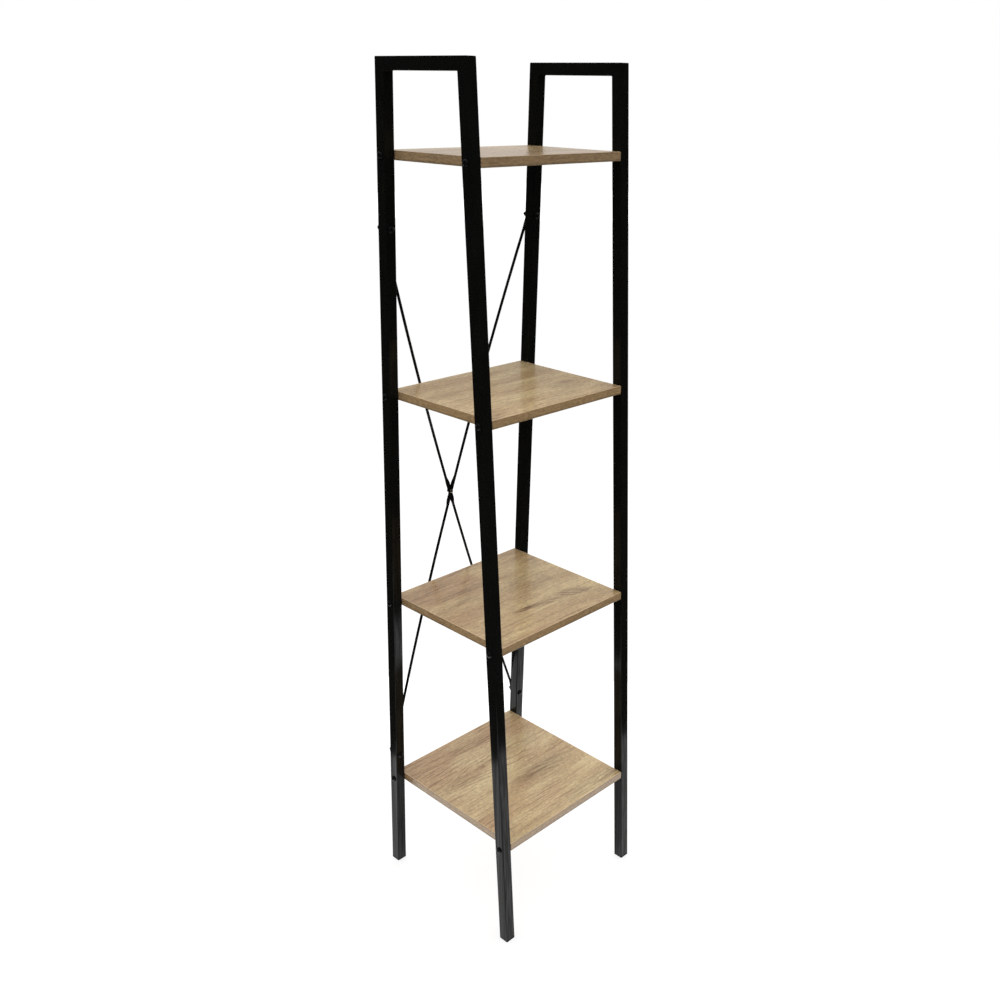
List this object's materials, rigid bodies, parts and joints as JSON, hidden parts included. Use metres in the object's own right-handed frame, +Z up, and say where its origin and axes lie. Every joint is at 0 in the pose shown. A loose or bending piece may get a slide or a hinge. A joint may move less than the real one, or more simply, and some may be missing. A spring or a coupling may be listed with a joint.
{
  "type": "etagere",
  "caption": "Tall narrow ladder etagere: two leaning tube side frames carry open wood-look shelves, braced by crossed rods behind.",
  "frame": {"origin": "bottom centre of the bounding box: on the floor, midway between the side frames and between the front and back feet", "axes": "+X to the right seen from the front, +Y to the back, where the crossed rods are, +Z up"},
  "size_m": [0.3572, 0.348, 1.54],
  "materials": {
    "black_paint": "satin powder coat",
    "oak_look_board": "matt oak-look melamine face and edge band",
    "black_steel": "black, semi-gloss",
    "zinc_plated_steel": "zinc plated",
    "black_plastic": "moulded"
  },
  "bodies": {
    "root": {"left_side_frame": "black_paint", "right_side_frame": "black_paint", "top_shelf": "oak_look_board", "upper_shelf": "oak_look_board", "lower_shelf": "oak_look_board", "bottom_shelf": "oak_look_board", "front_brace_rod": "black_paint", "rear_brace_rod": "black_paint", "brace_bolt_high_left": "black_steel", "brace_bolt_high_right": "black_steel", "brace_bolt_low_left": "black_steel", "brace_bolt_low_right": "black_steel", "brace_nut_high_left": "black_steel", "brace_nut_high_right": "black_steel", "brace_nut_low_left": "black_steel", "brace_nut_low_right": "black_steel", "brace_middle_screw": "zinc_plated_steel", "brace_middle_nut": "zinc_plated_steel", "foot_cap_front_left": "black_plastic", "foot_cap_front_right": "black_plastic", "foot_cap_back_left": "black_plastic", "foot_cap_back_right": "black_plastic", "bolt_top_front_left": "black_steel", "bolt_top_front_right": "black_steel", "bolt_top_back_left": "black_steel", "bolt_top_back_right": "black_steel", "bolt_upper_front_left": "black_steel", "bolt_upper_front_right": "black_steel", "bolt_upper_back_left": "black_steel", "bolt_upper_back_right": "black_steel", "bolt_lower_front_left": "black_steel", "bolt_lower_front_right": "black_steel", "bolt_lower_back_left": "black_steel", "bolt_lower_back_right": "black_steel", "bolt_bottom_front_left": "black_steel", "bolt_bottom_front_right": "black_steel", "bolt_bottom_back_left": "black_steel", "bolt_bottom_back_right": "black_steel", "insert_top_front_left": "zinc_plated_steel", "insert_top_front_right": "zinc_plated_steel", "insert_top_back_left": "zinc_plated_steel", "insert_top_back_right": "zinc_plated_steel", "insert_upper_front_left": "zinc_plated_steel", "insert_upper_front_right": "zinc_plated_steel", "insert_upper_back_left": "zinc_plated_steel", "insert_upper_back_right": "zinc_plated_steel", "insert_lower_front_left": "zinc_plated_steel", "insert_lower_front_right": "zinc_plated_steel", "insert_lower_back_left": "zinc_plated_steel", "insert_lower_back_right": "zinc_plated_steel", "insert_bottom_front_left": "zinc_plated_steel", "insert_bottom_front_right": "zinc_plated_steel", "insert_bottom_back_left": "zinc_plated_steel", "insert_bottom_back_right": "zinc_plated_steel"}
  },
  "joints": []
}
